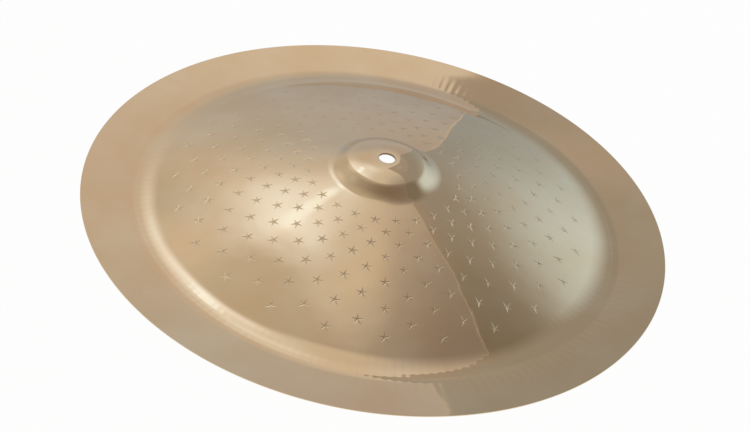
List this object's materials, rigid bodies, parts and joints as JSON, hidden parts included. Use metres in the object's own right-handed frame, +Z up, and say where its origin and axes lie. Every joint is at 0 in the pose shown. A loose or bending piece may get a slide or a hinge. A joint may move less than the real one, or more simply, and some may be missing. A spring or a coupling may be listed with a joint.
{
  "type": "china cymbal",
  "caption": "China cymbal: a thin round bronze disc with a small domed bell, an arched bow and a wide upturned flange, struck with a stick.",
  "frame": {"origin": "on the cymbal's axis, level with the underside of the valley that it rests on", "axes": "+Z up along the axis, from the underside out through the top of the bell; X and Y are alike, because the cymbal is round"},
  "size_m": [0.4572, 0.4572, 0.0451],
  "materials": {
    "bronze": "lathed, buffed and polished cast bell bronze, clear lacquered, with pressed star-shaped hammer marks"
  },
  "bodies": {
    "root": {"cymbal": "bronze"}
  },
  "joints": []
}
